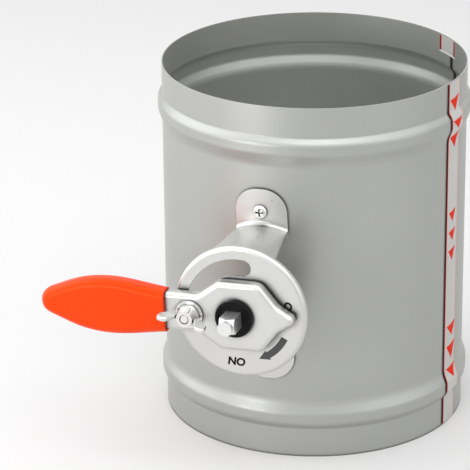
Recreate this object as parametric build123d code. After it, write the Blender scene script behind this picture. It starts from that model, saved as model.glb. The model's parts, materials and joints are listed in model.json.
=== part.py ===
from build123d import *
from math import degrees
import os

# Manual butterfly damper for a round duct, in millimetres.
# Z runs up the duct's axis from the bottom rim. The spindle lies along Y at mid height,
# and the dial and lever are at the front, towards -Y.

# Duct tube
duct_diameter = 200.0
duct_length = 240.0
sheet = 0.6
spigot_length = 20.0
bead_width = 18.0
bead_height = 2.8
bead_steep_side = 4.0
bead_crown = 7.0
bead_crease_radius = 2.0
bead_crown_radius = 5.0
bead_run_out_radius = 12.0

# Seam dressing, angles from the front towards the right
film_gap = 0.05
film_inset = 0.4
tape_thickness = 0.15
tape_start_angle = 75.8
tape_width = 19.2
sealant_thickness = 0.3
sealant_gap = 0.2
sealant_angle = 130.4
sealant_width = 3.0
rim_tape_overhang = 3.5
rim_tape_width = 20.8
rim_tape_height = 12.0

# Shaft
shaft_square = 10.0
shaft_stand_out = 16.0
shaft_rear_reach = 4.0
shaft_turned_diameter = 9.4
shaft_turned_length = 3.0
square_clearance = 0.05

# Wall bearings: a fixed collar with a turning bush inside it
journal_diameter = 16.0
running_clearance = 0.05
collar_wall = 1.1
collar_flange_diameter = 26.0
collar_flange_thickness = 2.2
collar_reach = 4.0
collar_hole_clearance = 0.1
barb_height = 0.6
barb_length = 2.0
bush_flange_diameter = 20.0
bush_flange_thickness = 1.5
thrust_clearance = 0.2

# Blade and its edge seal
blade_thickness = 1.2
blade_wall_gap = 2.9
blade_end_gap = 0.4
seal_wall_gap = 1.0
seal_width = 7.0
seal_lip = 1.4
seal_edge_radius = 0.8
seal_break = 26.0
seal_clearance = 0.05

# Saddles that clamp the shaft to the blade
saddle_length = 46.0
saddle_width = 20.0
saddle_steel = 1.5
saddle_bend_radius = 2.0
saddle_corner_radius = 4.0
saddle_screw_spacing = 31.0
saddle_front_setback = 37.0
saddle_rear_setback = 33.0
saddle_screw_diameter = 5.0
saddle_screw_tail = 2.0
saddle_screw_chamfer = 0.5
saddle_head_diameter = 9.5
saddle_head_height = 3.0
nut_across_flats = 8.0
nut_height = 4.0
nut_chamfer = 0.2
thread_clearance = 0.05
hole_clearance = 0.2

# Dial bracket, fitted with a slight lean that the closed lever follows
closed_lean = 2.5
bracket_steel = 1.5
dial_standoff = 48.0
dial_radius = 43.5
dial_lip = 4.5
dial_bend_radius = 2.5
tongue_inset = 2.5
tongue_dial_width = 46.0
foot_width = 34.5
foot_length = 24.0
foot_corner_radius = 15.5
foot_bend_radius = 2.5
foot_seat = 0.05
slot_radius = 30.0
slot_width = 11.0
slot_open_angle = 83.5
slot_closed_angle = 184.5
bracket_screw_setback = 9.0
bracket_screw_diameter = 4.2
bracket_screw_length = 12.0
bracket_screw_point = 4.2
bracket_screw_tip_radius = 0.4
bracket_head_diameter = 9.0
bracket_head_height = 2.6
head_edge_height = 0.8
recess_depth = 1.3
recess_width = 1.2
recess_margin = 1.9

# Lever
lever_steel = 1.8
lever_depth = 7.4
lever_dial_gap = 1.6
lever_bend_radius = 3.0
hub_half_height = 22.5
hub_left = 11.0
hub_right = 16.0
hub_corner_left = 4.0
hub_corner_right = 8.0
neck_half_height = 12.5
neck_start = 25.0
neck_corner = 8.0
nose_reach = 40.4
nose_root = 27.0
nose_root_half_height = 8.5
nose_root_corner = 10.0
nose_tip_radius = 3.5
tang_setback = 19.0
tang_half_height = 10.0
tang_corner = 5.0

# Grip, with its outline's stations set back from its root or its tip
grip_start = 46.5
grip_end = 131.0
grip_root_half_height = 14.3
grip_widest_offset = 35.5
grip_half_height = 18.7
grip_shoulder_setback = 25.0
grip_shoulder_half_height = 15.8
grip_nose_setback = 9.0
grip_nose_half_height = 9.8
grip_root_flare = 0.12
grip_thickness = 13.4
grip_edge_radius = 5.6
grip_clearance = 0.1

# Hub bush
hub_bush_diameter = 24.4
hub_bush_flange = 2.2
hub_bush_ring_width = 2.2
hub_bush_ring_height = 0.8
hub_journal_diameter = 20.0
hub_journal_flats = 16.0
hub_journal_tail = 1.5
hub_key_clearance = 0.1

# Clamp
bolt_diameter = 6.0
bolt_head_diameter = 13.0
bolt_head_height = 3.3
bolt_head_edge = 0.7
bolt_tip_chamfer = 0.6
slot_washer_diameter = 16.0
slot_washer_thickness = 1.6
slot_washer_gap = 0.3
clamp_washer_diameter = 18.0
clamp_washer_thickness = 1.4
wing_nut_gap = 0.2
wing_base_diameter = 13.5
wing_boss_diameter = 10.6
wing_boss_height = 8.5
wing_height = 17.0
wing_span = 32.0
wing_thickness = 2.8
wing_edge_radius = 0.8
wing_root_height = 1.0
wing_belly_reach = 8.3
wing_belly_height = 2.4
wing_belly_radius = 4.8
wing_flank_drop = 6.5
wing_tip_width = 6.1
wing_tip_radius = 2.5
wing_inner_radius = 3.2
wing_notch_drop = 1.7
wing_notch_radius = 1.0
wing_set_angle = -10.0

# Worked-out places
duct_radius = duct_diameter / 2
bore_radius = duct_radius - sheet
spindle_height = duct_length / 2
tape_sweep = degrees(tape_width / duct_radius)
sealant_sweep = degrees(sealant_width / bore_radius)
rim_tape_angle = sealant_angle - degrees(rim_tape_overhang / bore_radius)
rim_tape_sweep = degrees(rim_tape_width / bore_radius)
dial_face = duct_radius + dial_standoff
dial_back = dial_face - bracket_steel
tongue_radius = dial_radius - tongue_inset
foot_reach = tongue_radius + foot_length
bracket_screw_offset = tongue_radius + bracket_screw_setback
lever_back = dial_face + lever_dial_gap
lever_face = lever_back + lever_depth
hub_face = lever_face + hub_bush_flange + hub_bush_ring_height
half_shaft = shaft_square / 2
square_hole = shaft_square + 2 * square_clearance
collar_neck_radius = journal_diameter / 2 + running_clearance + collar_wall
spindle_hole_radius = collar_neck_radius + collar_hole_clearance
collar_inner_face = bore_radius - collar_flange_thickness
bush_outer_face = collar_inner_face - thrust_clearance
bush_inner_face = bush_outer_face - bush_flange_thickness
blade_radius = bore_radius - blade_wall_gap
blade_flat = bush_inner_face - blade_end_gap
seal_radius = bore_radius - seal_wall_gap
blade_top = half_shaft + blade_thickness
saddle_front_offset = blade_flat - saddle_front_setback
saddle_rear_offset = blade_flat - saddle_rear_setback
foot_face = duct_radius + foot_seat + bracket_steel
tang_reach = grip_end - tang_setback

# The front frame has its origin on the spindle at the duct's axis: x to the right,
# y up and z out towards the front.
front = Plane(origin=(0, 0, spindle_height), x_dir=(1, 0, 0), z_dir=(0, -1, 0))
centre = Pos(0, 0, spindle_height)
up = (Align.CENTER, Align.CENTER, Align.MIN)
down = (Align.CENTER, Align.CENTER, Align.MAX)
clear_through = 2 * duct_diameter


def wall_line(radius, inset):
    """Half section of the swaged wall, ending an inset short of both rims."""
    crown = radius + bead_height
    bead_start = spigot_length + bead_steep_side
    lower = [
        (radius, inset),
        (radius, spigot_length),
        (crown, bead_start),
        (crown, bead_start + bead_crown),
        (radius, spigot_length + bead_width),
    ]
    upper = [(r, duct_length - z) for r, z in reversed(lower)]
    corners = [bead_crease_radius, bead_crown_radius, bead_crown_radius, bead_run_out_radius]
    return FilletPolyline(*lower, *upper, radius=corners + corners[::-1])


def rolled_wall(inner, outer, inset=0.0, start_angle=90.0, sweep=360.0):
    """Sheet between two radii, rolled round the duct's axis from an angle off the front."""
    inside = wall_line(inner, inset)
    outside = wall_line(outer, inset)
    ends = [Line(inside @ 0, outside @ 0), Line(inside @ 1, outside @ 1)]
    section = Plane.XZ * make_face([*inside.edges(), *outside.edges(), *ends])
    return Rot(Z=start_angle - 90) * revolve(section, Axis.Z, sweep)


def along_duct(radius, lean=0.0):
    """Cylinder round the duct's axis, in the front frame or in one that leans from it."""
    return Rot(Z=-lean) * Rot(X=90) * Cylinder(radius, clear_through)


def duct_body():
    tube = rolled_wall(bore_radius, duct_radius)
    tube -= centre * Rot(X=90) * Cylinder(spindle_hole_radius, clear_through)
    screw_hole = Cylinder(bracket_screw_diameter / 2 + hole_clearance, clear_through, align=up)
    for place in bracket_screw_places():
        tube -= front * place * screw_hole
    return tube


def seam_tape():
    inner = duct_radius + film_gap
    return rolled_wall(inner, inner + tape_thickness, film_inset, tape_start_angle, tape_sweep)


def seam_sealant():
    """Bead of sealant down the inside of the seam, ending below the rim tape."""
    outer = bore_radius - sealant_gap
    bead = rolled_wall(outer - sealant_thickness, outer, film_inset, sealant_angle, sealant_sweep)
    top = duct_length - film_inset - rim_tape_height - film_gap
    return bead & Pos(0, 0, top) * Cylinder(duct_diameter, duct_length, align=down)


def rim_tape():
    outer = bore_radius - film_gap
    inner = outer - tape_thickness
    band = Rectangle(outer - inner, rim_tape_height, align=(Align.MIN, Align.MAX))
    section = Plane.XZ * Pos(inner, duct_length - film_inset) * band
    return Rot(Z=rim_tape_angle - 90) * revolve(section, Axis.Z, rim_tape_sweep)


def dial_dish():
    """Dished dial with its edge turned back, in the front frame."""
    outside = Pos(0, 0, dial_face) * Cylinder(dial_radius, dial_lip, align=down)
    outside = fillet(outside.edges().group_by(Axis.Z)[-1], dial_bend_radius)
    inside = Pos(0, 0, dial_back) * Cylinder(dial_radius - bracket_steel, dial_lip, align=down)
    inside = fillet(inside.edges().group_by(Axis.Z)[-1], dial_bend_radius - bracket_steel)
    return outside - inside


def bracket_tongue():
    """Arched tongue and foot, bent from one strip, in the bracket's own leaning frame."""
    seat = duct_radius + foot_seat
    arch = Cylinder(tongue_radius, clear_through) - Cylinder(tongue_radius - bracket_steel, clear_through)
    half_foot = foot_width / 2
    half_dial = tongue_dial_width / 2
    taper_start = foot_face + 2 * foot_bend_radius
    plan = Polyline(
        (-half_foot, 0),
        (-half_foot, taper_start),
        (-half_dial, dial_back),
        (half_dial, dial_back),
        (half_foot, taper_start),
        (half_foot, 0),
        close=True,
    )
    strip = extrude(Plane.XZ * make_face(plan), tongue_radius, dir=(0, 1, 0))
    tongue = arch & strip
    outline = Rectangle(foot_width, foot_reach, align=(Align.CENTER, Align.MIN))
    outline = fillet(outline.vertices().group_by(Axis.Y)[-1], foot_corner_radius)
    foot = extrude(outline, dial_face) & along_duct(foot_face, closed_lean)
    foot -= Cylinder(tongue_radius - bracket_steel, clear_through)
    strip = tongue + foot - along_duct(seat, closed_lean)
    inner_bend = strip.edges().sort_by_distance((0, tongue_radius, foot_face))[0]
    strip = fillet(inner_bend, foot_bend_radius)
    outer_bend = strip.edges().sort_by_distance((0, tongue_radius - bracket_steel, seat))[0]
    return fillet(outer_bend, foot_bend_radius + bracket_steel)


def dial_bracket():
    tongue = bracket_tongue()
    bracket = dial_dish() + tongue + Rot(Z=180) * tongue
    hub_hole = hub_journal_diameter / 2 + running_clearance
    bracket -= Cylinder(hub_hole, clear_through, align=up)
    sweep = slot_closed_angle - slot_open_angle
    slot = SlotArc(CenterArc((0, 0), slot_radius, slot_open_angle, sweep), slot_width)
    bracket -= Pos(0, 0, dial_back - dial_lip) * extrude(slot, 2 * dial_lip)
    screw_hole = Cylinder(bracket_screw_diameter / 2 + hole_clearance, clear_through, align=up)
    bracket = Rot(Z=closed_lean) * bracket
    for place in bracket_screw_places():
        bracket -= place * screw_hole
    return front * bracket


def pan_screw(head_diameter, head_height, shank_diameter, shank_length, point):
    """Cross-recess pan-head screw: seat at z = 0, head upwards."""
    head = Cylinder(head_diameter / 2, head_height, align=up)
    head = fillet(head.edges().group_by(Axis.Z)[-1], head_height - head_edge_height)
    recess = Box(head_diameter - 2 * recess_margin, recess_width, recess_depth, align=down)
    for turn in (0, 90):
        head -= Pos(0, 0, head_height) * Rot(Z=turn) * recess
    shank = Cylinder(shank_diameter / 2, shank_length, align=down)
    shank = chamfer(shank.edges().group_by(Axis.Z)[0], point[0], point[1])
    return head + shank


def bracket_screw_places():
    """Screw positions in the two feet, in the front frame."""
    return [Rot(Z=closed_lean) * Pos(0, side * bracket_screw_offset) for side in (-1, 1)]


def bracket_screws():
    point = (bracket_screw_point, bracket_screw_diameter / 2 - bracket_screw_tip_radius)
    screw = pan_screw(
        bracket_head_diameter, bracket_head_height, bracket_screw_diameter, bracket_screw_length, point
    )
    seat = Pos(0, 0, foot_face)
    return Compound([front * place * seat * screw for place in bracket_screw_places()])


def wall_collar():
    """Fixed bearing collar: flange inside the duct, barbed neck through the wall."""
    outer_end = duct_radius + collar_reach
    flange = Pos(0, 0, collar_inner_face) * Cylinder(
        collar_flange_diameter / 2, duct_radius - collar_inner_face, align=up
    )
    flange &= along_duct(bore_radius - film_gap)
    neck_length = outer_end - collar_inner_face
    neck = Pos(0, 0, collar_inner_face) * Cylinder(collar_neck_radius, neck_length, align=up)
    barb = Pos(0, 0, duct_radius + running_clearance) * Cone(
        collar_neck_radius + barb_height, collar_neck_radius, barb_length, align=up
    )
    bore = Cylinder(journal_diameter / 2 + running_clearance, clear_through, align=up)
    return flange + neck + barb - bore


def turning_bush():
    """Square-bore bush that turns in a wall collar."""
    outer_end = duct_radius + collar_reach
    flange = Pos(0, 0, bush_inner_face) * Cylinder(
        bush_flange_diameter / 2, bush_flange_thickness, align=up
    )
    journal = Pos(0, 0, bush_inner_face) * Cylinder(
        journal_diameter / 2, outer_end - bush_inner_face, align=up
    )
    journal = chamfer(journal.edges().group_by(Axis.Z)[-1], collar_wall / 2)
    return flange + journal - Box(square_hole, square_hole, clear_through, align=up)


def shaft():
    front_end = hub_face + shaft_stand_out
    rear_end = duct_radius + shaft_rear_reach
    bar = Pos(0, 0, -rear_end) * Box(shaft_square, shaft_square, front_end + rear_end, align=up)
    turned_radius = shaft_turned_diameter / 2
    shoulder = shaft_square - turned_radius
    turned = Pos(0, 0, front_end) * Cylinder(turned_radius, shaft_turned_length, align=down)
    corners = Pos(0, 0, front_end - shaft_turned_length)
    turned += corners * Cone(shaft_square, turned_radius, shoulder, align=down)
    plain = corners * Pos(0, 0, -shoulder) * Cylinder(shaft_square, clear_through, align=down)
    return front * (bar & (turned + plain))


def blade():
    """Disc with a flat beside each wall bearing, lying on the upper face of the shaft."""
    disc = Cylinder(blade_radius, blade_thickness, align=up)
    disc &= Box(2 * blade_radius, 2 * blade_flat, 2 * blade_thickness)
    hole = Cylinder(saddle_screw_diameter / 2 + hole_clearance, 4 * blade_thickness)
    for place in saddle_screw_places():
        disc -= place * hole
    return centre * Pos(0, 0, half_shaft) * disc


def blade_seal():
    """Two edge strips of U section that grip the rim of the blade."""
    height = blade_thickness + 2 * seal_lip
    ring = Cylinder(seal_radius, height) - Cylinder(seal_radius - seal_width, height)
    ring -= Cylinder(blade_radius + seal_clearance, blade_thickness + 2 * seal_clearance)
    ring = fillet(ring.faces().sort_by(SortBy.AREA)[-1].edges(), seal_edge_radius)
    ring -= Box(2 * seal_break, 2 * duct_diameter, 2 * height)
    return centre * Pos(0, 0, half_shaft + blade_thickness / 2) * ring


def saddle_screw_places():
    """Screw positions on the blade, seen along the duct."""
    across = saddle_screw_spacing / 2
    return [Pos(x, y) for y in (-saddle_front_offset, saddle_rear_offset) for x in (-across, across)]


def saddle():
    """Hat-shaped strap under the shaft, with its feet against the blade at z = half_shaft."""
    inner = half_shaft + square_clearance
    foot_end = saddle_length / 2
    line = FilletPolyline(
        (-foot_end, half_shaft - saddle_steel),
        (-inner - saddle_steel, half_shaft - saddle_steel),
        (-inner - saddle_steel, -half_shaft - saddle_steel),
        (inner + saddle_steel, -half_shaft - saddle_steel),
        (inner + saddle_steel, half_shaft - saddle_steel),
        (foot_end, half_shaft - saddle_steel),
        radius=saddle_bend_radius,
    )
    top = Line((-foot_end, half_shaft), (foot_end, half_shaft))
    sides = [Line(line @ 0, top @ 0), Line(line @ 1, top @ 1)]
    block = extrude(Plane.XZ * make_face([*line.edges(), top, *sides]), saddle_width / 2, both=True)
    block -= Pos(0, 0, half_shaft) * Box(2 * inner, 2 * saddle_width, shaft_square, align=down)
    upright = block.edges().filter_by(Axis.Z).group_by(Axis.X)
    block = fillet(upright[0] + upright[-1], saddle_corner_radius)
    hole = Cylinder(saddle_screw_diameter / 2 + hole_clearance, clear_through)
    for side in (-1, 1):
        block -= Pos(side * saddle_screw_spacing / 2) * hole
    return block


def saddle_screws():
    length = saddle_steel + blade_thickness + nut_height + saddle_screw_tail
    point = (saddle_screw_chamfer, saddle_screw_chamfer)
    screw = pan_screw(saddle_head_diameter, saddle_head_height, saddle_screw_diameter, length, point)
    seat = Pos(0, 0, half_shaft - saddle_steel) * Rot(X=180)
    return Compound([centre * place * seat * screw for place in saddle_screw_places()])


def saddle_nuts():
    nut = extrude(RegularPolygon(nut_across_flats / 2, 6, major_radius=False), nut_height)
    crown_radius = nut_across_flats / 2 - nut_chamfer
    nut &= Cone(crown_radius + nut_height, crown_radius, nut_height, align=up)
    nut -= Cylinder(saddle_screw_diameter / 2 + thread_clearance, clear_through)
    return Compound([centre * place * Pos(0, 0, blade_top) * nut for place in saddle_screw_places()])


def lever_outline(grow=0.0):
    """Front view of the lever, spindle at the origin and tang to the left."""
    upper = [
        (-tang_reach, tang_half_height),
        (-grip_start, neck_half_height),
        (-neck_start, neck_half_height),
        (-hub_left, hub_half_height),
        (hub_right, hub_half_height),
        (nose_root, nose_root_half_height),
    ]
    corners = [tang_corner, neck_corner, neck_corner, hub_corner_left, hub_corner_right, nose_root_corner]
    points = upper + [(nose_reach, 0)] + [(x, -y) for x, y in reversed(upper)]
    line = FilletPolyline(*points, radius=corners + [nose_tip_radius] + corners[::-1], close=True)
    return offset(make_face(line.edges()), grow) if grow else make_face(line.edges())


def lever():
    """Pressed channel: flat face, walls bent back towards the dial."""
    outside = Pos(0, 0, lever_back) * extrude(lever_outline(), lever_depth)
    outside = fillet(outside.edges().group_by(Axis.Z)[-1], lever_bend_radius)
    inside = Pos(0, 0, lever_back - lever_depth) * extrude(
        lever_outline(-lever_steel), 2 * lever_depth - lever_steel
    )
    inside = fillet(inside.edges().group_by(Axis.Z)[-1], lever_bend_radius - lever_steel)
    press = outside - inside
    press -= Pos(0, 0, lever_back) * hub_key(hub_key_clearance, 2 * lever_depth)
    hole = Cylinder(bolt_diameter / 2 + hole_clearance, clear_through, align=up)
    return front * (press - Pos(-slot_radius) * hole)


def hub_key(grow, height):
    """Round bar with two flats that carries the lever."""
    bar = Cylinder(hub_journal_diameter / 2 + grow, height, align=up)
    return bar & Box(hub_journal_diameter * 2, hub_journal_flats + 2 * grow, 2 * height)


def grip():
    """Soft leaf-shaped handle over the tang of the lever."""
    root = (-grip_start, grip_root_half_height)
    widest = (-grip_start - grip_widest_offset, grip_half_height)
    shoulder = (-grip_end + grip_shoulder_setback, grip_shoulder_half_height)
    nose = (-grip_end + grip_nose_setback, grip_nose_half_height)
    tip = (-grip_end, 0)
    upper = Spline(root, widest, shoulder, nose, tip, tangents=[(-1, grip_root_flare), (0, -1)])
    lower = mirror(upper, Plane.XZ)
    back = Line(root, (root[0], -root[1]))
    outline = make_face([*upper.edges(), *lower.edges(), back])
    middle = (lever_back + lever_face) / 2
    body = Pos(0, 0, middle) * extrude(outline, grip_thickness / 2, both=True)
    rims = body.edges().filter_by(lambda e: e.geom_type == GeomType.BSPLINE)
    body = fillet(rims, grip_edge_radius)
    tang = extrude(lever_outline(grip_clearance), lever_depth + 2 * grip_clearance)
    return front * (body - Pos(0, 0, lever_back - grip_clearance) * tang)


def hub_bush():
    """Black bush: flange with a raised rim, keyed body through lever and dial."""
    flange_top = hub_bush_flange + hub_bush_ring_height
    flange = Cylinder(hub_bush_diameter / 2, flange_top, align=up)
    dish = Cylinder(hub_bush_diameter / 2 - hub_bush_ring_width, flange_top, align=up)
    flange -= Pos(0, 0, hub_bush_flange) * dish
    flange = fillet(flange.edges().group_by(Axis.Z)[-1], hub_bush_ring_height / 2)
    tail = lever_face - dial_back + hub_journal_tail
    bush = flange + Pos(0, 0, -tail) * hub_key(0, tail)
    bush -= Box(square_hole, square_hole, clear_through)
    return front * Pos(0, 0, lever_face) * bush


def washer(diameter, thickness):
    ring = Cylinder(diameter / 2, thickness, align=up)
    return ring - Cylinder(bolt_diameter / 2 + hole_clearance, clear_through)


# The clamp's pieces stand in line on one axis across the slot.
clamp_axis = front * Pos(-slot_radius)
slot_washer_back = dial_back - slot_washer_gap - slot_washer_thickness
wing_nut_base = lever_face + clamp_washer_thickness + wing_nut_gap


def slot_washer():
    return clamp_axis * Pos(0, 0, slot_washer_back) * washer(slot_washer_diameter, slot_washer_thickness)


def clamp_washer():
    return clamp_axis * Pos(0, 0, lever_face) * washer(clamp_washer_diameter, clamp_washer_thickness)


def clamp_bolt():
    head = Cylinder(bolt_head_diameter / 2, bolt_head_height, align=down)
    head = fillet(head.edges().group_by(Axis.Z)[0], bolt_head_height - bolt_head_edge)
    length = wing_nut_base + wing_boss_height - slot_washer_back
    shank = Cylinder(bolt_diameter / 2, length, align=up)
    shank = chamfer(shank.edges().group_by(Axis.Z)[-1], bolt_tip_chamfer)
    return clamp_axis * Pos(0, 0, slot_washer_back) * (head + shank)


def wing_nut():
    """Forged nut: tapered boss with two wings that rise past it."""
    boss = Cone(wing_base_diameter / 2, wing_boss_diameter / 2, wing_boss_height, align=up)
    tip = wing_span / 2
    root = bolt_diameter / 2
    notch_height = wing_boss_height - wing_notch_drop
    edge = [
        (root, wing_root_height),
        (wing_belly_reach, wing_belly_height),
        (tip, wing_height - wing_flank_drop),
        (tip, wing_height),
        (tip - wing_tip_width, wing_height),
        (wing_boss_diameter / 2, notch_height),
        (root, notch_height),
    ]
    rounds = [0, wing_belly_radius, wing_belly_radius, wing_tip_radius]
    rounds += [wing_inner_radius, wing_notch_radius, 0]
    profile = make_face(FilletPolyline(*edge, radius=rounds, close=True).edges())
    wing = extrude(Plane.XZ * profile, wing_thickness / 2, both=True)
    sides = wing.faces().filter_by(Axis.Y)
    wing = fillet(sides[0].edges() + sides[1].edges(), wing_edge_radius)
    nut = boss + wing + Rot(Z=180) * wing
    nut -= Cylinder(bolt_diameter / 2 + thread_clearance, clear_through)
    return clamp_axis * Pos(0, 0, wing_nut_base) * Rot(Z=wing_set_angle - closed_lean) * nut


fixed_pieces = {
    "duct_body": duct_body(),
    "seam_tape": seam_tape(),
    "rim_tape": rim_tape(),
    "seam_sealant": seam_sealant(),
    "dial_bracket": dial_bracket(),
    "bracket_screws": bracket_screws(),
    "front_collar": front * wall_collar(),
    "rear_collar": Rot(Z=180) * (front * wall_collar()),
}
turning_pieces = {
    "front_bush": front * turning_bush(),
    "rear_bush": Rot(Z=180) * (front * turning_bush()),
    "shaft": shaft(),
    "blade": blade(),
    "blade_seal": blade_seal(),
    "front_saddle": centre * Pos(0, -saddle_front_offset) * saddle(),
    "rear_saddle": centre * Pos(0, saddle_rear_offset) * saddle(),
    "saddle_screws": saddle_screws(),
    "saddle_nuts": saddle_nuts(),
    "lever": lever(),
    "grip": grip(),
    "hub_bush": hub_bush(),
    "slot_washer": slot_washer(),
    "clamp_bolt": clamp_bolt(),
    "clamp_washer": clamp_washer(),
    "wing_nut": wing_nut(),
}

os.makedirs("parts", exist_ok=True)
spindle_axis = Axis((0, 0, spindle_height), (0, -1, 0))
for name, piece in fixed_pieces.items():
    export_step(piece, f"parts/{name}.step")
for name, piece in turning_pieces.items():
    export_step(piece.rotate(spindle_axis, closed_lean), f"parts/{name}.step")
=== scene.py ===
"""Looks, light and camera for a round duct damper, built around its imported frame."""

import json
import math

import bmesh
import bpy
from mathutils import Matrix, Vector
from mathutils.bvhtree import BVHTree


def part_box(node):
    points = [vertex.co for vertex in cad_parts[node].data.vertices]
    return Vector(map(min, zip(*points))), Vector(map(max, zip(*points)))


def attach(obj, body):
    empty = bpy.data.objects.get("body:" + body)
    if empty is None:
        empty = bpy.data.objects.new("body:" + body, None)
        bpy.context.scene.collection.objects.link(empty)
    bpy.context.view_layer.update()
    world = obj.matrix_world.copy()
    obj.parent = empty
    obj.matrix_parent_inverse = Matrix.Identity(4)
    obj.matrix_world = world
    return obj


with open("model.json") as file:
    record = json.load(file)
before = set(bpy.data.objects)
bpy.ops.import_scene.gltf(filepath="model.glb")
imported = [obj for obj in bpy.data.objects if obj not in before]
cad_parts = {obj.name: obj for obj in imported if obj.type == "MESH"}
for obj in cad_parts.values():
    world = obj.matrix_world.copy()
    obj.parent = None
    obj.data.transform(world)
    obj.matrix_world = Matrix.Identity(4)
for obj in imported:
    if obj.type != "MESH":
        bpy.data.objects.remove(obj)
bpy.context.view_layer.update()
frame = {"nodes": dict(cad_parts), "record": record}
nodes = frame["nodes"]
record = frame["record"]
scene = bpy.context.scene
mm = 0.001

# Places taken from the frame
blade_joint = record["behaviour"]["joints"][0]
spindle = Vector(blade_joint["pos_m"])
blade_lean = math.radians(blade_joint["range_deg"][1] - 90)
duct_low, duct_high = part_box("duct_body")
duct_length = duct_high.z - duct_low.z
dial_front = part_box("dial_bracket")[0].y


# Shader node helpers


def add_node(tree, kind, **settings):
    """New shader node; names with a capital set its sockets, the others its own settings."""
    node = tree.nodes.new(kind)
    for name, value in settings.items():
        if name[0].isupper():
            node.inputs[name.replace("_", " ")].default_value = value
        else:
            setattr(node, name, value)
    return node


def new_material(name, **sockets):
    """Material with one principled shader, its plain values set on its own sockets."""
    material = bpy.data.materials.new(name)
    material.use_nodes = True
    shader = material.node_tree.nodes["Principled BSDF"]
    for socket, value in sockets.items():
        shader.inputs[socket.replace("_", " ")].default_value = value
    return material, material.node_tree, shader


def object_space(tree, stretch=(1, 1, 1)):
    """Object coordinates in metres, stretched along the axes."""
    place = add_node(tree, "ShaderNodeTexCoord")
    mapping = add_node(tree, "ShaderNodeMapping", Scale=stretch)
    tree.links.new(place.outputs["Object"], mapping.inputs["Vector"])
    return mapping.outputs["Vector"]


def noise(tree, vector, scale, detail, rough=0.5):
    """Noise value between 0 and 1."""
    node = add_node(tree, "ShaderNodeTexNoise", Scale=scale, Detail=detail, Roughness=rough)
    tree.links.new(vector, node.inputs["Vector"])
    return node.outputs["Fac"]


def spread(tree, value, low, high, ends=(0.3, 0.7)):
    """Maps a value between its ends to a range."""
    node = add_node(tree, "ShaderNodeMapRange", clamp=True)
    node.inputs["From Min"].default_value = ends[0]
    node.inputs["From Max"].default_value = ends[1]
    node.inputs["To Min"].default_value = low
    node.inputs["To Max"].default_value = high
    tree.links.new(value, node.inputs["Value"])
    return node.outputs["Result"]


def colour_mix(tree, **settings):
    """Colour mixing node with its two colour inputs and its colour output."""
    node = add_node(tree, "ShaderNodeMix", data_type="RGBA", **settings)
    first, second = [socket for socket in node.inputs if socket.type == "RGBA"]
    mixed = [socket for socket in node.outputs if socket.type == "RGBA"][0]
    return node, first, second, mixed


def blend_colours(tree, value, first_colour, second_colour):
    """Colour between two colours by a value from 0 to 1."""
    node, first, second, mixed = colour_mix(tree)
    first.default_value = (*first_colour, 1)
    second.default_value = (*second_colour, 1)
    tree.links.new(value, node.inputs["Factor"])
    return mixed


def paint_crevice_shade(tree, tone, reach):
    """Painted shade: darkens a colour where other surfaces come close and block the light."""
    samples = 8
    darkest = 0.08
    openness = (0.45, 0.9)
    near = add_node(tree, "ShaderNodeAmbientOcclusion", samples=samples, Distance=reach)
    node, first, second, mixed = colour_mix(tree, blend_type="MULTIPLY")
    node.inputs["Factor"].default_value = 1
    tree.links.new(tone, first)
    tree.links.new(spread(tree, near.outputs["AO"], darkest, 1, openness), second)
    return mixed


def bump(tree, shader, height, distance):
    """Surface relief from a height value."""
    node = add_node(tree, "ShaderNodeBump", Strength=1, Distance=distance)
    tree.links.new(height, node.inputs["Height"])
    tree.links.new(node.outputs["Normal"], shader.inputs["Normal"])


def shaded(colour, factor):
    """Colour made lighter or darker by a factor."""
    return tuple(channel * factor for channel in colour)


# Materials


def metal(
    name, colour, metallic, roughness, grain_scale, cloud, relief, grain_stretch=(1, 1, 1), painted_shade_reach=None
):
    """Sheet or bar steel: soft clouds in its tone, a fine drawn grain and uneven polish."""
    cloud_scale = 14.0
    cloud_detail = 4.0
    grain_detail = 5.0
    grain_rough = 0.65
    uneven = 0.15
    material, tree, shader = new_material(name, Metallic=metallic)
    clouds = spread(tree, noise(tree, object_space(tree), cloud_scale, cloud_detail), 0, 1)
    tone = blend_colours(tree, clouds, shaded(colour, 1 - cloud), shaded(colour, 1 + cloud))
    # Painted shade in crevices, where a reach is given.
    if painted_shade_reach:
        tone = paint_crevice_shade(tree, tone, painted_shade_reach)
    tree.links.new(tone, shader.inputs["Base Color"])
    grain = noise(tree, object_space(tree, grain_stretch), grain_scale, grain_detail, grain_rough)
    polish = spread(tree, grain, roughness * (1 - uneven), roughness * (1 + uneven))
    tree.links.new(polish, shader.inputs["Roughness"])
    bump(tree, shader, grain, relief)
    return material


def moulded(name, colour, roughness, skin_scale, relief, **sockets):
    """Plastic or rubber with a fine moulded texture and slightly uneven colour."""
    cloud_scale = 40.0
    cloud_detail = 3.0
    cloud_dark = 0.94
    cloud_light = 1.05
    skin_detail = 2.0
    uneven = 0.1
    material, tree, shader = new_material(name, **sockets)
    plain = object_space(tree)
    clouds = spread(tree, noise(tree, plain, cloud_scale, cloud_detail), 0, 1)
    tone = blend_colours(tree, clouds, shaded(colour, cloud_dark), shaded(colour, cloud_light))
    tree.links.new(tone, shader.inputs["Base Color"])
    skin = noise(tree, plain, skin_scale, skin_detail)
    gloss = spread(tree, skin, roughness * (1 - uneven), roughness * (1 + uneven))
    tree.links.new(gloss, shader.inputs["Roughness"])
    bump(tree, shader, skin, relief)
    return material


def ink(name, colour):
    """Matt print with little gloss, so that its colour holds at a flat angle."""
    return moulded(
        name, colour, roughness=0.7, skin_scale=800.0, relief=0.005 * mm, Specular_IOR_Level=0.1
    )


# Where a reach is given below, shade is painted into the colour near other surfaces.
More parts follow.
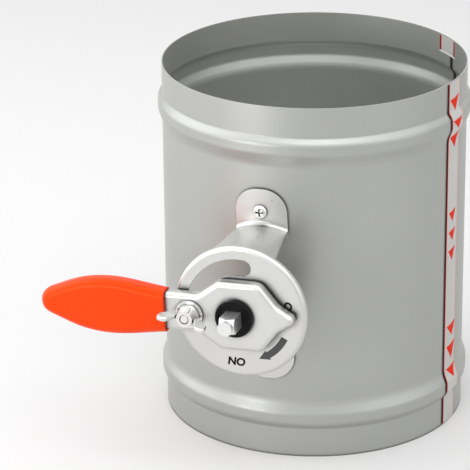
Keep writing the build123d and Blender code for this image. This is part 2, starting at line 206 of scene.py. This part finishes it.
materials = {
    "duct_sheet": metal(
        "galvanised_sheet", (0.41, 0.419, 0.398), metallic=0.7, roughness=0.45, grain_scale=160.0,
        cloud=0.03, relief=0.006 * mm, grain_stretch=(1, 1, 12), painted_shade_reach=2.5 * mm,
    ),
    "zinc_steel": metal(
        "zinc_plate", (0.6, 0.6, 0.585), metallic=0.85, roughness=0.32, grain_scale=420.0,
        cloud=0.06, relief=0.005 * mm, painted_shade_reach=6 * mm,
    ),
    "fastener_steel": metal(
        "bright_zinc", (0.74, 0.74, 0.73), metallic=0.9, roughness=0.24, grain_scale=200.0,
        cloud=0.04, relief=0.004 * mm, painted_shade_reach=2 * mm,
    ),
    "shaft_steel": metal(
        "drawn_bar", (0.72, 0.72, 0.71), metallic=0.9, roughness=0.3, grain_scale=60.0,
        cloud=0.04, relief=0.01 * mm, grain_stretch=(40, 1, 40),
    ),
    "grip_plastic": moulded(
        "orange_dip", (0.88, 0.045, 0.003), roughness=0.36, skin_scale=900.0, relief=0.02 * mm,
        Specular_IOR_Level=0.4, Specular_Tint=(1, 0.65, 0.2, 1),
    ),
    "hub_plastic": moulded(
        "black_moulding", (0.004, 0.004, 0.004), roughness=0.18, skin_scale=700.0, relief=0.01 * mm,
        Specular_IOR_Level=0.12,
    ),
    "bearing_plastic": moulded(
        "dark_moulding", (0.05, 0.05, 0.05), roughness=0.45, skin_scale=700.0, relief=0.03 * mm
    ),
    "bush_plastic": moulded(
        "natural_moulding", (0.62, 0.61, 0.57), roughness=0.45, skin_scale=700.0, relief=0.02 * mm
    ),
    "seal_rubber": moulded(
        "pale_rubber", (0.36, 0.36, 0.35), roughness=0.6, skin_scale=500.0, relief=0.04 * mm
    ),
    "seam_tape": metal(
        "silver_film", (0.56, 0.55, 0.53), metallic=0.1, roughness=0.45, grain_scale=300.0,
        cloud=0.03, relief=0.01 * mm,
    ),
    # Near-black strip along the inner edge of the seam's lap.
    "sealant": moulded(
        "black_seam_strip", (0.008, 0.008, 0.008), roughness=0.5, skin_scale=300.0, relief=0.08 * mm
    ),
}
for subpart in record["subparts"]:
    mesh = nodes[subpart["node"]].data
    mesh.materials.clear()
    mesh.materials.append(materials[subpart["material_slot"]])

red_print = ink("red_print", (0.78, 0.035, 0.015))
deep_red_print = ink("deep_red_print", (0.62, 0.022, 0.012))
pale_red_print = ink("pale_red_print", (0.75, 0.36, 0.32))
dark_red_print = ink("dark_red_print", (0.3, 0.01, 0.01))
# Near-black colour for the painted shadow along the seam tape's edge.
painted_shadow_print = ink("painted_shadow_print", (0.012, 0.008, 0.008))
white_print = ink("white_print", (0.85, 0.84, 0.82))
grey_ink = ink("grey_ink", (0.09, 0.09, 0.09))
black_ink = ink("black_ink", (0.01, 0.01, 0.01))


# Added pieces

ink_lift = 0.04 * mm
ink_thickness = 0.05 * mm
weld_reach = 0.001 * mm


def mount(name, mesh, material, body):
    """Object for a mesh that rides on a body and takes a slot's finish."""
    mesh.materials.clear()
    mesh.materials.append(material)
    piece = bpy.data.objects.new(name, mesh)
    scene.collection.objects.link(piece)
    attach(piece, body)
    return piece


def new_piece(name, vertices, faces, material, body):
    """Piece from points and faces, with its corners welded and its faces turned outward."""
    mesh = bpy.data.meshes.new(name)
    mesh.from_pydata(vertices, [], faces)
    shape = bmesh.new()
    shape.from_mesh(mesh)
    bmesh.ops.remove_doubles(shape, verts=shape.verts, dist=weld_reach)
    bmesh.ops.recalc_face_normals(shape, faces=shape.faces)
    shape.to_mesh(mesh)
    shape.free()
    return mount(name, mesh, material, body)


def thicken(piece):
    """Gives a flat print the thickness of its ink."""
    modifier = piece.modifiers.new("thickness", "SOLIDIFY")
    modifier.thickness = ink_thickness
    modifier.offset = 0


# Print on the tapes, with a painted shadow along the seam tape's left edge

arrow_tip_drop = 0.18
arrow_foot_share = 0.58


def surface_of(node):
    """Ray-cast tree of a node's surface."""
    mesh = nodes[node].data
    return BVHTree.FromPolygons([v.co for v in mesh.vertices], [p.vertices[:] for p in mesh.polygons])


def wall_angles(node):
    """First and last angle of a node on the duct's wall, measured from the front."""
    angles = [math.atan2(v.co.x, -v.co.y) for v in nodes[node].data.vertices]
    return min(angles), max(angles)


def on_wall(surface, angle, height, outside):
    """Point on the duct's wall at an angle from the front, a hair off its surface."""
    outward = Vector((math.sin(angle), -math.cos(angle), 0))
    reach = duct_high.x - duct_low.x
    start = outward * (reach if outside else 0) + Vector((0, 0, height))
    aim = -outward if outside else outward
    hit = surface.ray_cast(start, aim)[0]
    return hit - aim * ink_lift


def wall_print(name, surface, patches, material, outside=True):
    """Print on the duct: each patch is a stack of (height, left angle, right angle) rows."""
    columns = 4
    vertices = []
    faces = []
    for rows in patches:
        base = len(vertices)
        for height, left, right in rows:
            for i in range(columns + 1):
                angle = left + (right - left) * i / columns
                vertices.append(on_wall(surface, angle, height, outside))
        for row in range(len(rows) - 1):
            for i in range(columns):
                a = base + row * (columns + 1) + i
                b = a + columns + 1
                faces.append((a, a + 1, b + 1, b))
    thicken(new_piece(name, vertices, faces, material, "duct"))


def band(low, high, left, right):
    """Rows of an upright band."""
    step = 1.5 * mm
    count = max(2, round((high - low) / step))
    return [(low + (high - low) * i / count, left, right) for i in range(count + 1)]


def arrowhead(top, tall, left, right):
    """Rows of a triangle: its tip to the left, a corner at the top right, a foot between them."""
    foot = left + arrow_foot_share * (right - left)
    steps = 6
    rows = []
    for i in range(steps + 1):
        rise = (1 - arrow_tip_drop) * i / steps
        near = foot + (left - foot) * i / steps
        far = foot + (right - foot) * rise
        rows.append((top - tall + tall * rise, near, far))
    return rows + [(top, right, right)]


tape_surface = surface_of("seam_tape")
tape_low, tape_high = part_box("seam_tape")
tape_start, tape_end = wall_angles("seam_tape")
shadow_line_width = math.radians(1.2)
line_width = math.radians(0.45)
edge_gap = math.radians(0.1)
print_margin = 0.3 * mm
print_low = tape_low.z + print_margin
print_high = tape_high.z - print_margin
shadow_line_start = tape_start + edge_gap
red_start = shadow_line_start + shadow_line_width
pale_end = tape_end - edge_gap
# The first band is a painted shadow: a dark strip standing for the shade under the tape's raised left
# edge.
tape_edges = {
    "tape_edge_painted_shadow": (shadow_line_start, shadow_line_start + shadow_line_width, painted_shadow_print),
    "tape_red_edge": (red_start, red_start + line_width, deep_red_print),
    "tape_pale_edge": (pale_end - line_width, pale_end, pale_red_print),
}
for name, (left, right, material) in tape_edges.items():
    wall_print(name, tape_surface, [band(print_low, print_high, left, right)], material)

# Each group of arrows: degrees in from the tape's edge, width in degrees, then top and height in mm
arrow_groups = {
    "top": (2.3, 7.6, (229.8, 10.4), (215.8, 8.2), (205.0, 10.6)),
    "middle": (3.1, 5.7, (151.6, 8.6), (138.2, 8.5), (125.0, 9.2)),
    "bottom": (3.1, 7.6, (71.4, 10.0), (57.2, 12.4), (40.6, 9.0)),
}
for group, (inset, width, *arrows) in arrow_groups.items():
    left = tape_start + math.radians(inset)
    right = left + math.radians(width)
    patches = [arrowhead(top * mm, tall * mm, left, right) for top, tall in arrows]
    wall_print(f"tape_arrows_{group}", tape_surface, patches, red_print)

rim_surface = surface_of("rim_tape")
rim_low, rim_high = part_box("rim_tape")
rim_start, rim_end = wall_angles("rim_tape")
rim_line = math.radians(1.1)
rim_edge = 1.2 * mm
rim_left = rim_start + edge_gap
rim_right = rim_end - edge_gap
rim_sides = [
    band(rim_low.z + rim_edge, rim_high.z - print_margin, left, left + rim_line)
    for left in (rim_left, rim_right - rim_line)
]
wall_print("rim_tape_lines", rim_surface, rim_sides, dark_red_print, outside=False)
rim_foot = band(rim_low.z + print_margin, rim_low.z + rim_edge, rim_left, rim_right)
wall_print("rim_tape_foot", rim_surface, [rim_foot], white_print, outside=False)


# Print on the dial


def on_dial(right, up):
    """Point a hair in front of the dial, in mm to the right of the spindle and above it."""
    return Vector((spindle.x + right * mm, dial_front - ink_lift, spindle.z + up * mm))


def ring_point(radius, degrees_up):
    """Point on a ring round the spindle, to the right and up."""
    turn = math.radians(degrees_up)
    return radius * math.cos(turn), radius * math.sin(turn)


def dial_word(name, text, middle, turn, size):
    """Word on the dial, turned about its own middle."""
    curve = bpy.data.curves.new(name, "FONT")
    curve.body = text
    curve.size = size * mm
    curve.align_x = "CENTER"
    curve.align_y = "CENTER"
    curve.shear = 0.12
    curve.offset = 0.28 * mm
    holder = bpy.data.objects.new(name, curve)
    scene.collection.objects.link(holder)
    bpy.context.view_layer.update()
    settled = holder.evaluated_get(bpy.context.evaluated_depsgraph_get())
    mesh = bpy.data.meshes.new_from_object(settled)
    bpy.data.objects.remove(holder)
    upright = Matrix.Rotation(math.radians(90), 4, "X")
    turned = Matrix.Rotation(math.radians(turn), 4, "Z")
    mesh.transform(Matrix.Translation(on_dial(*middle)) @ upright @ turned)
    thicken(mount(name, mesh, black_ink, "duct"))


# Each word: text, its middle in mm to the right of the spindle and above it, turn in degrees, size in mm
dial_words = {
    "dial_word_on": ("ON", (-2.0, -33.5), 180.0, 7.2),
    "dial_word_off": ("OFF", (31.6, 5.4), -90.0, 6.8),
}
for name, (text, middle, turn, size) in dial_words.items():
    dial_word(name, text, middle, turn, size)

# Curved arrow: radii in mm, angles in degrees up from the right
arrow_radius = 32.5
arrow_half = 2.2
arrow_barb = 1.2
arrow_start = -25.0
arrow_neck = -55.0
arrow_tip = -67.0
arrow_steps = 12
arrow_outer = arrow_radius + arrow_half
arrow_inner = arrow_radius - arrow_half
arc = [arrow_start + (arrow_neck - arrow_start) * i / arrow_steps for i in range(arrow_steps + 1)]
arrow_outline = [ring_point(arrow_outer, angle) for angle in arc]
arrow_outline.append(ring_point(arrow_outer + arrow_barb, arrow_neck))
arrow_outline.append(ring_point(arrow_radius, arrow_tip))
arrow_outline.append(ring_point(arrow_inner - arrow_barb, arrow_neck))
arrow_outline += [ring_point(arrow_inner, angle) for angle in reversed(arc)]
arrow_points = [on_dial(right, up) for right, up in arrow_outline]
arrow_face = list(range(len(arrow_points)))
thicken(new_piece("dial_arrow", arrow_points, [arrow_face], grey_ink, "duct"))


# Screw threads

thread_depth = 0.25 * mm
thread_sink = 0.15 * mm
thread_half_width = 0.35
thread_steps = 24


def helix(tip, axis, length, radius_at, pitch):
    """Ridge of triangular section wound from a screw's tip, as vertices and faces."""
    side = axis.orthogonal().normalized()
    other = axis.cross(side)
    count = round(length / pitch * thread_steps)
    section = ((-thread_sink, -thread_half_width), (thread_depth, 0), (-thread_sink, thread_half_width))
    corners = len(section)
    vertices = []
    for i in range(count + 1):
        turn = 2 * math.pi * i / thread_steps
        along = length * i / count
        outward = side * math.cos(turn) + other * math.sin(turn)
        for rise, shift in section:
            vertices.append(tip + axis * (along + shift * pitch) + outward * (radius_at(along) + rise))
    faces = [[corners * end + j for j in range(corners)] for end in (0, count)]
    for i in range(count):
        for j in range(corners):
            a = corners * i + j
            b = corners * i + (j + 1) % corners
            faces.append((a, a + corners, b + corners, b))
    return vertices, faces


def screw_tips(node, axis, key):
    """Tip of each screw in a node; the key parts its screws, the axis runs from tip to head."""
    screws = {}
    for vertex in nodes[node].data.vertices:
        screws.setdefault(key(vertex.co), []).append(vertex.co)
    tips = []
    for points in screws.values():
        reach = min(point.dot(axis) for point in points)
        low = Vector([min(point[i] for point in points) for i in range(3)])
        high = Vector([max(point[i] for point in points) for i in range(3)])
        middle = (low + high) / 2
        tips.append(middle + axis * (reach - middle.dot(axis)))
    return tips


def tapered(tip_radius, shank_radius, taper_length):
    """Radius of a shank by the distance from its tip."""

    def radius_at(along):
        return tip_radius + (shank_radius - tip_radius) * min(1, along / taper_length)

    return radius_at


def threads(name, tips, axis, length, radius_at, pitch, body):
    """Threads of a group of screws as one piece."""
    vertices = []
    faces = []
    for tip in tips:
        ridge, sides = helix(tip, axis, length, radius_at, pitch)
        faces += [[i + len(vertices) for i in side] for side in sides]
        vertices += ridge
    new_piece(name, vertices, faces, materials["fastener_steel"], body)


bracket_axis = Vector((0, -1, 0))
bracket_tips = screw_tips("bracket_screws", bracket_axis, lambda place: place.z > spindle.z)
bracket_shank = tapered(tip_radius=0.4 * mm, shank_radius=2.1 * mm, taper_length=4.2 * mm)
threads(
    "bracket_screw_threads", bracket_tips, bracket_axis,
    length=9.3 * mm, radius_at=bracket_shank, pitch=1.6 * mm, body="duct",
)
saddle_axis = Vector((math.sin(blade_lean), 0, -math.cos(blade_lean)))
saddle_tips = screw_tips(
    "saddle_screws", saddle_axis, lambda place: (place.x > spindle.x, place.y > spindle.y)
)
saddle_shank = tapered(tip_radius=2.0 * mm, shank_radius=2.5 * mm, taper_length=0.5 * mm)
threads(
    "saddle_screw_threads", saddle_tips, saddle_axis,
    length=1.8 * mm, radius_at=saddle_shank, pitch=0.8 * mm, body="turning_set",
)


# Floor, backdrop and light


def showing_rays(tree):
    """1 for rays that show the backdrop: from the camera, off gloss or through glass."""
    path = add_node(tree, "ShaderNodeLightPath")
    both = add_node(tree, "ShaderNodeMath", operation="MAXIMUM")
    tree.links.new(path.outputs["Is Camera Ray"], both.inputs[0])
    tree.links.new(path.outputs["Is Glossy Ray"], both.inputs[1])
    every = add_node(tree, "ShaderNodeMath", operation="MAXIMUM")
    tree.links.new(both.outputs[0], every.inputs[0])
    tree.links.new(path.outputs["Is Transmission Ray"], every.inputs[1])
    return every.outputs[0]


def white_world(fill):
    """White to the camera and in reflections, a softer fill for the light it gives."""
    world = bpy.data.worlds.new("studio")
    scene.world = world
    world.use_nodes = True
    tree = world.node_tree
    background = tree.nodes["Background"]
    background.inputs["Color"].default_value = (1, 1, 1, 1)
    strength = spread(tree, showing_rays(tree), fill, 1, ends=(0, 1))
    tree.links.new(strength, background.inputs["Strength"])


def pale_floor(size, colour):
    """Plain pale floor under the duct."""
    half = size / 2
    corners = [(-half, -half), (half, -half), (half, half), (-half, half)]
    mesh = bpy.data.meshes.new("floor")
    mesh.from_pydata([(x, y, duct_low.z) for x, y in corners], [], [(0, 1, 2, 3)])
    floor = bpy.data.objects.new("floor", mesh)
    scene.collection.objects.link(floor)
    paint = new_material("floor_paint", Base_Color=(*colour, 1), Roughness=0.9, Specular_IOR_Level=0.1)[0]
    mesh.materials.append(paint)


def softbox(name, place, size, power):
    """Square area lamp aimed at the middle of the duct, in metres and watts."""
    data = bpy.data.lights.new(name, "AREA")
    data.size = size
    data.energy = power
    lamp = bpy.data.objects.new(name, data)
    scene.collection.objects.link(lamp)
    lamp.location = place
    lamp.rotation_euler = (spindle - lamp.location).to_track_quat("-Z", "Y").to_euler()


white_world(fill=0.3)
pale_floor(size=8.0, colour=(0.8, 0.8, 0.8))
softbox("key_low", place=(-0.7, -1.45, 0.2), size=0.5, power=6.0)
softbox("left_panel", place=(-1.6, -0.3, 0.75), size=1.7, power=15.5)
softbox("right_panel", place=(1.6, -0.3, 0.75), size=1.6, power=4.5)
softbox("front_high", place=(0.33, -0.9, 1.55), size=1.1, power=6.0)
softbox("top", place=(0.0, 0.0, 1.5), size=3.2, power=32.0)


# Camera at the photograph's angle: lengths in metres, lens and sensor in mm

camera_azimuth = math.radians(20.0)
camera_elevation = math.radians(21.947)
camera_roll = math.radians(-0.594)
camera_distance = 1.86827
camera_lens = 213.68
camera_reach = 20.0
sensor_width = 36.0
aim_right = -0.053033
aim_up = -0.0040416


def place_camera():
    """Camera that looks at a point beside the duct's middle, which frames the lever too."""
    side = Vector((math.cos(camera_azimuth), math.sin(camera_azimuth), 0))
    flat_back = Vector((math.sin(camera_azimuth), -math.cos(camera_azimuth), 0))
    back = flat_back * math.cos(camera_elevation) + Vector((0, 0, math.sin(camera_elevation)))
    above = back.cross(side)
    right = side * math.cos(camera_roll) + above * math.sin(camera_roll)
    upward = back.cross(right)
    middle = Vector((0, 0, duct_low.z + duct_length / 2))
    aim = middle + side * aim_right + Vector((0, 0, aim_up))
    data = bpy.data.cameras.new("camera")
    data.lens = camera_lens
    data.sensor_width = sensor_width
    data.clip_end = camera_reach
    camera = bpy.data.objects.new("camera", data)
    scene.collection.objects.link(camera)
    turn = Matrix((right, upward, back)).transposed().to_4x4()
    camera.matrix_world = Matrix.Translation(aim + back * camera_distance) @ turn
    scene.camera = camera


place_camera()
scene.view_settings.view_transform = "Standard"
